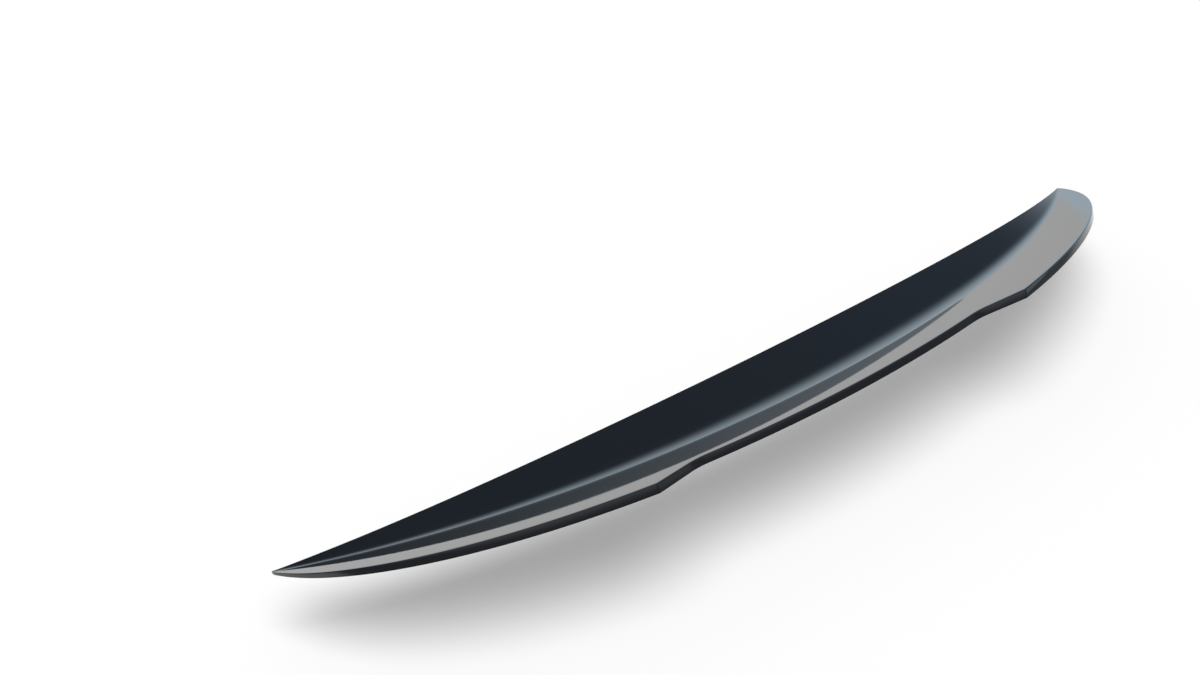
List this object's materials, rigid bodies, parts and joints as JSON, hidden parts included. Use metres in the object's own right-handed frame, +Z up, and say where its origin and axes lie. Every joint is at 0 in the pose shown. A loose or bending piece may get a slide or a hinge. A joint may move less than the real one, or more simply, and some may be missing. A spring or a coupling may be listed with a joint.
{
  "type": "spoiler extension",
  "caption": "Slim gloss black boot-lid spoiler lip with a rising rear edge, a set-back centre stretch and pointed tips, with red-lined mounting tape underneath.",
  "frame": {"origin": "middle of the tape's bonding face, on the mirror plane", "axes": "+X to the car's right, +Y towards the front of the car, +Z up, as fitted"},
  "size_m": [1.038, 0.1777, 0.0706],
  "materials": {
    "gloss_black": "high gloss",
    "foam_tape": "matt foam",
    "red_film": "satin film"
  },
  "bodies": {
    "root": {"spoiler_shell": "gloss_black", "mounting_tape": "foam_tape", "release_liner": "red_film"}
  },
  "joints": []
}
